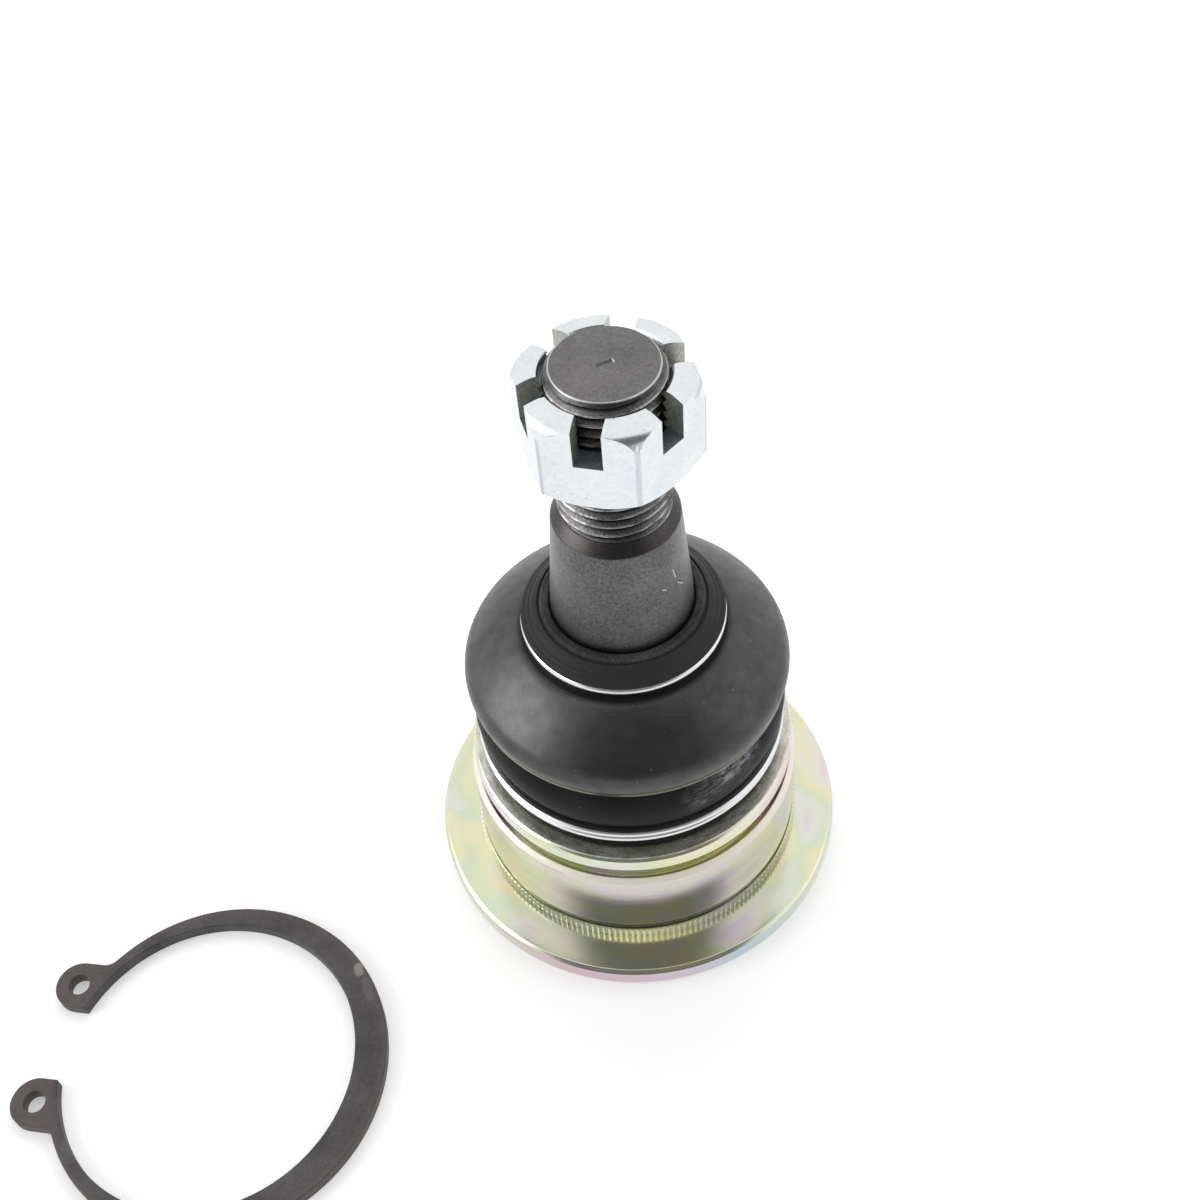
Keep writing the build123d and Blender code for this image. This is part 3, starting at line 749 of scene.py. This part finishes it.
def white_zinc():
    """Bright zinc with a bluish film, barrel plated, its slots duller and darker: olive walls of dirt and
    painted shade, and a dark blue floor of painted shade.
    """
    f = Finish("white_zinc")
    spot, z, radius, turn = f.place("spot", "z", "radius", "turn")
    cloud = f.noise(spot, 0.35, 4.0, 0.6)
    peel = f.noise(spot, 2.4, 3.0, 0.6)
    pits = f.specks(spot, 1.1, 0.10)
    colour = f.ramp(cloud * 0.5 + peel * 0.5, (0.35, (0.76, 0.81, 0.85)), (0.6, (0.88, 0.90, 0.91)))
    fold = f.math("PINGPONG", turn - radians(NUT_TURN + 30), radians(30))
    across = radius * f.math("SINE", fold)
    slot = f.step(across, SLOT_WIDE / 2 + 0.05, SLOT_WIDE / 2 - 0.02)
    slot = slot * f.step(z, SLOT_FLOOR - 0.05, SLOT_FLOOR + 0.02)
    floor = f.step(z, SLOT_FLOOR + 0.12, SLOT_FLOOR + 0.04)
    # In the slots, the olive walls are dirt and painted shade, and the dark blue floor is painted shade.
    dirt_and_shade_cloud = f.noise(spot, 2.2, 4.0, 0.7)
    olive = f.ramp(dirt_and_shade_cloud, (0.35, (0.20, 0.21, 0.16)), (0.65, (0.50, 0.53, 0.43)))
    slot_dirt_and_shade = f.mix(floor, olive, (0.12, 0.145, 0.21))
    colour = f.mix(slot * 0.95, colour, slot_dirt_and_shade)
    # The blue-grey line along the crown's edge is a painted reflection.
    brow = f.band(radius, NUT_CROWN_R - 0.08, NUT_CROWN_R + 0.12, 0.1)
    brow = brow * f.step(z, NUT_TOP - 1.1, NUT_TOP - 0.9)
    colour = f.mix(brow * 0.35, colour, (0.38, 0.43, 0.52))
    # The blue-grey along the hexagon's vertical edges is a painted reflection.
    corner = f.step(radius, NUT_CORNER_R - 0.22, NUT_CORNER_R - 0.08)
    colour = f.mix(corner * 0.45, colour, (0.42, 0.46, 0.55))
    colour = f.mix(pits * 0.5, colour, (0.35, 0.36, 0.36))
    grain = f.noise(spot, 9.0, 3.0, 0.6)
    rough = 0.10 + 0.12 * cloud + 0.06 * grain + slot * 0.1
    return f.surface(Base_Color=colour, Roughness=rough, Metallic=1.0 - 0.4 * slot,
                     Normal=f.bump(grain * 0.4 + peel * 0.6 - pits, 0.014))


def stud_steel():
    """Phosphated steel, grainy and dark, rubbed bright on the thread's crests, with a painted highlight round
    the end's rim and painted shade on the shoulder, in the thread's roots and on the end chamfer.
    """
    f = Finish("stud_steel", Metallic=1.0, Coat_Weight=0.35, Coat_Roughness=0.25)
    spot, x, y, z, radius, turn = f.place("spot", "x", "y", "z", "radius", "turn")
    grain = f.noise(spot, 7.0, 3.0, 0.65)
    cloud = f.noise(spot, 0.25, 3.0, 0.55)
    grit = f.noise(spot, 3.2, 2.0, 0.6)
    dark = f.ramp(grain * 0.3 + grit * 0.45 + cloud * 0.25,
                  (0.36, (0.060, 0.057, 0.057)), (0.64, (0.205, 0.198, 0.196)))
    glints = f.specks(spot, 3.4, 0.16)
    dark = f.mix(glints * 0.3, dark, (0.45, 0.44, 0.43))
    end_face = f.step(z, STUD_TOP - 0.04, STUD_TOP - 0.01)
    dark = f.mix(end_face * 0.3, dark, (0.30, 0.29, 0.29))
    # The near-black on the shoulder chamfer below the thread is painted shade.
    shoulder = f.band(z, TAPER_TOP + 0.05, THREAD_LOW - 0.05, 0.08)
    dark = f.mix(shoulder * 0.8, dark, (0.040, 0.037, 0.035))
    thread = f.band(z, THREAD_LOW + 0.1, STUD_TOP - 0.85, 0.1)
    worn = f.noise(f.vector(x * 0.6, y * 0.6, z * 2.0), 0.8, 3.0, 0.6)
    crest = f.step(radius, THREAD_R - 0.18, THREAD_R - 0.05) * thread * f.step(worn, 0.35, 0.65)
    # The bright line round the end's rim is a painted highlight.
    rim = f.band(z, STUD_TOP - 0.11, STUD_TOP - 0.02, 0.03) * f.step(radius, END_R - 0.1, END_R)
    bright = f.ramp(grain, (0.3, (0.50, 0.49, 0.48)), (0.7, (0.80, 0.79, 0.77)))
    # The near-black in the thread's roots is painted shade.
    root = thread * f.step(radius, THREAD_R - 0.35, THREAD_R - 0.6)
    colour = f.mix(root * 0.75, dark, (0.030, 0.029, 0.029))
    # The dark patches on the end chamfer are painted shade.
    end_cone = f.band(z, STUD_TOP - 0.75, STUD_TOP - 0.2, 0.1) * f.step(radius, END_R - 0.2, END_R)
    colour = f.mix(end_cone * f.step(worn, 0.62, 0.4) * 0.7, colour, (0.05, 0.047, 0.046))
    colour = f.mix(crest * 0.7, colour, bright)
    colour = f.mix(rim * 0.9, colour, bright)
    arc_length = turn * TAPER_TOP_R
    marks = f.scratch(arc_length, z, (-5.0, 38.6), (-4.7, 37.2), 0.09)
    marks = marks + f.scratch(arc_length, z, (-4.5, 36.2), (-3.7, 35.2), 0.08)
    marks = marks + f.scratch(arc_length, z, (-6.6, 36.9), (-6.2, 36.6), 0.1)
    colour = f.mix(marks * 0.8, colour, (0.7, 0.7, 0.69))
    punch_cos, punch_sin = cos(radians(PUNCH_TURN)), sin(radians(PUNCH_TURN))
    along = x * punch_cos + y * punch_sin
    over = y * punch_cos - x * punch_sin
    edge = f.math("MAXIMUM", abs(along) - PUNCH_LONG / 2, abs(over) - PUNCH_WIDE / 2)
    burr = f.band(edge, -0.10, 0.0, 0.04) * f.step(z, STUD_TOP - 0.2, STUD_TOP - 0.1)
    colour = f.mix(burr * 0.45, colour, bright)
    rough = 0.36 - 0.12 * crest + 0.1 * grain - 0.1 * rim
    return f.surface(Base_Color=colour, Roughness=rough,
                     Normal=f.bump(grain * 0.6 + grit * (0.6 + 1.6 * thread), 0.03))


def boot_rubber():
    """Moulded black rubber: bloom on its dome, dust, a parting line with dust and a painted highlight, a
    scuffed lip with a painted sheen, and a rubbed fold with a painted sheen.
    """
    f = Finish("boot_rubber", Specular_IOR_Level=0.10, Coat_Roughness=0.36, Coat_IOR=1.75)
    spot, z, radius, turn = f.place("spot", "z", "radius", "turn", attribute="rest_place")
    cloud = f.noise(spot, 0.16, 3.0, 0.55)
    grain = f.noise(spot, 5.0, 3.0, 0.6)
    black = f.ramp(cloud, (0.3, (0.006, 0.006, 0.0065)), (0.7, (0.013, 0.0125, 0.0125)))
    dust = f.specks(spot, 0.62, 0.055)
    colour = f.mix(dust * 0.6, black, (0.30, 0.26, 0.20))
    fold_r = 18.2
    # The light tan parting line is dust and a painted highlight along the bulge's lower edge.
    flash = f.band(z, SEAM_Z - 0.1, SEAM_Z + 0.25, 0.05) * f.step(radius, fold_r, fold_r + 0.06)
    flash = flash * f.step(cloud, 0.3, 0.45)
    colour = f.mix(flash * 0.9, colour, (0.30, 0.28, 0.22))
    # The lip's lighter grey is a painted sheen.
    lip = f.step(z, BOOT_LIP_Z - 0.2, BOOT_LIP_Z + 0.1)
    colour = f.mix(lip * 0.6, colour, (0.048, 0.047, 0.047))
    ridge = f.step(z, BOOT_TOP - 0.55, BOOT_TOP - 0.2) * f.step(grain * 0.5 + cloud * 0.5, 0.42, 0.6)
    colour = f.mix(ridge * 0.5, colour, (0.12, 0.12, 0.125))
    round_fold = turn * fold_r
    crumple = f.noise(f.vector(round_fold * 0.4, z * 1.2, radius), 1.5, 5.0, 0.7)
    patchy = f.noise(spot, 0.4, 3.0, 0.6)
    ragged = z + 6.0 * (patchy - 0.5)
    # The rub mark on the fold is smoother and bumped. Its lighter grey and the brighter shine within it are
    # painted sheen.
    smear_and_sheen = f.scratch(round_fold, ragged, (-21.5, 14.3), (-14.8, 15.4), 3.0)
    smear_and_sheen = smear_and_sheen * f.step(z, CREASE_Z + 0.1, CREASE_Z - 0.3)
    rubbed = smear_and_sheen * f.step(crumple, 0.34, 0.74)
    colour = f.mix(rubbed * 0.65, colour, (0.22, 0.215, 0.23))
    shine = smear_and_sheen * f.scratch(round_fold, z, (-18.0, 15.2), (-15.0, 15.9), 1.7)
    shine = shine * f.step(crumple, 0.38, 0.62)
    colour = f.mix(shine * 0.55, colour, (0.42, 0.41, 0.43))
    dome = f.step(z, SEAM_Z - 0.2, SEAM_Z + 0.3) * f.step(z, BOOT_CROWN_Z + 0.1, BOOT_CROWN_Z - 0.05)
    bloom = f.noise(spot, 0.45, 4.0, 0.65)
    rough = 0.38 + 0.14 * cloud + 0.06 * grain - rubbed * 0.14
    return f.surface(Base_Color=colour, Roughness=rough, Coat_Weight=dome * (0.35 + 0.95 * bloom),
                     Normal=f.bump(grain + 3.0 * smear_and_sheen * crumple, 0.015))


def bright_wire():
    """Drawn spring wire with fine lines along it."""
    f = Finish("bright_wire", Metallic=1.0)
    z, radius, turn = f.place("z", "radius", "turn")
    lines = f.noise(f.vector(radius * 4.0, z * 4.0, turn * 0.8), 1.5, 2.0)
    colour = f.ramp(lines, (0.3, (0.80, 0.81, 0.83)), (0.7, (0.92, 0.93, 0.94)))
    return f.surface(Base_Color=colour, Roughness=0.22 + 0.14 * lines, Normal=f.bump(lines, 0.006))


def ring_phosphate():
    """Spring steel with a matt black phosphate, browner at its rim and greyer where it is rubbed."""
    f = Finish("ring_phosphate", Metallic=0.6)
    spot, x, y = f.place("spot", "x", "y")
    grain = f.noise(spot, 4.0, 4.0, 0.65)
    cloud = f.noise(spot, 0.3, 3.0)
    colour = f.ramp(grain * 0.5 + cloud * 0.5, (0.3, (0.052, 0.048, 0.051)), (0.7, (0.130, 0.123, 0.128)))
    off_x, off_y = x - RING_X, y - RING_Y
    rim = f.step((off_x * off_x + off_y * off_y) ** 0.5, RING_R - 1.0, RING_R - 0.3)
    colour = f.mix(rim * 0.4, colour, (0.135, 0.112, 0.096))
    streak = f.scratch(x, y, (-35.0, -22.4), (-34.4, -24.6), 0.8) ** 2.0
    colour = f.mix(streak * (0.05 + 0.3 * grain), colour, (0.26, 0.25, 0.23))
    rubbed = f.scratch(x, y, (-35.9, -20.5), (-35.8, -21.2), 0.9) ** 3.0
    colour = f.mix(rubbed * (0.2 + 0.6 * grain), colour, (0.42, 0.41, 0.37))
    return f.surface(Base_Color=colour, Roughness=0.5 + 0.15 * grain, Normal=f.bump(grain, 0.02))


def seat_polymer():
    """Ivory bearing plastic with faint flow lines."""
    f = Finish("seat_polymer")
    z, radius, turn = f.place("z", "radius", "turn")
    flow = f.noise(f.vector(radius, z, turn * 3.0), 0.8, 3.0)
    colour = f.ramp(flow, (0.3, (0.62, 0.58, 0.48)), (0.7, (0.72, 0.69, 0.60)))
    return f.surface(Base_Color=colour, Roughness=0.35 + 0.2 * flow, Normal=f.bump(flow, 0.01))


def spring_steel():
    """Blued spring steel with a grained face."""
    f = Finish("spring_steel", Metallic=1.0)
    z, radius, turn = f.place("z", "radius", "turn")
    grain = f.noise(f.vector(radius * 3.0, z, turn * 2.0), 1.4, 3.0)
    colour = f.ramp(grain, (0.3, (0.07, 0.08, 0.11)), (0.7, (0.16, 0.17, 0.20)))
    return f.surface(Base_Color=colour, Roughness=0.3 + 0.2 * grain, Normal=f.bump(grain, 0.01))


def dress(piece, finish, body=None, node=None):
    """Gives a piece its finish, and where it stands for a solid, its body and its node."""
    piece.data.materials.clear()
    piece.data.materials.append(finish)
    for face in piece.data.polygons:
        face.material_index = 0
    if node:
        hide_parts(node)
    if body:
        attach(piece, body)


plate, zinc, steel, rubber = yellow_zinc(), white_zinc(), stud_steel(), boot_rubber()
wire, phosphate, ivory, blued = bright_wire(), ring_phosphate(), seat_polymer(), spring_steel()

boot = make_boot()
dress(make_housing(), plate, "housing", "housing")
dress(make_stud(), steel, "ball_stud", "ball_stud")
dress(make_lower_clip(), wire, "boot", "lower_clip_ring")
dress(make_upper_clip(), wire, "boot_collar", "upper_clip_ring")
dress(make_nut(), zinc, "castle_nut", "castle_nut")
dress(make_snap_ring(), phosphate, "snap_ring", "snap_ring")
dress(boot, rubber, None, "dust_boot")
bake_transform(boot)
dress(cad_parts["closing_cap"], plate)
dress(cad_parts["lower_ball_seat"], ivory)
dress(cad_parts["upper_ball_seat"], ivory)
dress(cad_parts["preload_spring"], blued)


# Stage


def lay_floor():
    """White sweep that keeps a soft shadow under the part."""
    put_down(None)
    below = 0.02
    bpy.ops.mesh.primitive_plane_add(size=6, location=(0, 0, (BASE_Z - below) * MM))
    floor = bpy.context.object
    floor.name = "studio_floor"
    f = Finish("floor_white", Base_Color=(0.9, 0.9, 0.9, 1.0), Roughness=0.9, Specular_IOR_Level=0.0)
    [radius] = f.place("radius")
    seen, mirrored, through = f.shown()
    lit = Strand(f, f.shader.outputs[0])
    far = f.step(radius, 120.0, 300.0)
    lit = f.blend((mirrored + through) * 0.5, lit, f.glow("Emission", 1.14))
    lit = f.blend(seen * (0.12 + 0.88 * far), lit, f.glow("Emission", 2.8))
    f.feed(f.tree.nodes["Material Output"].inputs["Surface"], lit)
    floor.data.materials.append(f.material)


def light_room():
    """White room round the part: dim where metal mirrors the viewer's side, bright at left and right."""
    world = bpy.data.worlds.new("studio")
    bpy.context.scene.world = world
    world.use_nodes = True
    n = Nodes(world.node_tree)
    seen, mirrored, through = n.shown()
    x, y, z = n.split(n.node("ShaderNodeTexCoord", out="Generated"))
    front = n.step(z * 0.61 - y * 0.79, 0.64, 0.82)
    left = n.step(z * 0.5 - x * 0.865 - y * 0.05, 0.88, 0.985)
    right = n.step(z * 0.5 + x * 0.865, 0.88, 0.985)
    strengths = {"walls": 0.95, "front": 0.2, "left": 4.5, "right": 1.15, "fill": 0.6, "backdrop": 1.0}
    glow = {name: n.glow("Background", strength) for name, strength in strengths.items()}
    mirror = n.blend(front, glow["walls"], glow["front"])
    mirror = n.blend(left, mirror, glow["left"])
    mirror = n.blend(right, mirror, glow["right"])
    room = n.blend(mirrored + through, glow["fill"], mirror)
    room = n.blend(seen, room, glow["backdrop"])
    n.feed(n.tree.nodes["World Output"].inputs["Surface"], room)


def hang_softbox(name, place, size, power, aim=(0, 0, 0.02)):
    """Square soft light that faces the part, placed and sized in metres."""
    lamp = bpy.data.lights.new(name, "AREA")
    lamp.shape = "SQUARE"
    lamp.size = size
    lamp.energy = power
    holder = bpy.data.objects.new(name, lamp)
    bpy.context.scene.collection.objects.link(holder)
    holder.location = place
    holder.visible_glossy = False
    holder.rotation_euler = (Vector(aim) - Vector(place)).to_track_quat("-Z", "Y").to_euler()


def set_camera():
    """Camera at the photograph's viewing angle."""
    lens = bpy.data.cameras.new("camera")
    lens.sensor_width = 36.0
    lens.lens = 46.155
    lens.clip_start = 0.01
    camera = bpy.data.objects.new("camera", lens)
    bpy.context.scene.collection.objects.link(camera)
    place, swing, looks_down, roll = (-0.00161, -0.10792, 0.15936), 0.452, 50.396, -5.364
    turn = Matrix.Rotation(radians(swing), 4, "Z") @ Matrix.Rotation(radians(90 - looks_down), 4, "X")
    camera.matrix_world = Matrix.Translation(place) @ turn @ Matrix.Rotation(radians(roll), 4, "Z")
    bpy.context.scene.camera = camera


lay_floor()
light_room()
hang_softbox("softbox_left", place=(-0.61, -0.06, 0.36), size=0.4, power=1.3)
hang_softbox("softbox_right", place=(0.55, 0.07, 0.38), size=0.4, power=1.0)
hang_softbox("softbox_back", place=(0.0, 0.45, 0.45), size=0.6, power=1.6)
set_camera()
bpy.context.scene.view_settings.view_transform = "Standard"
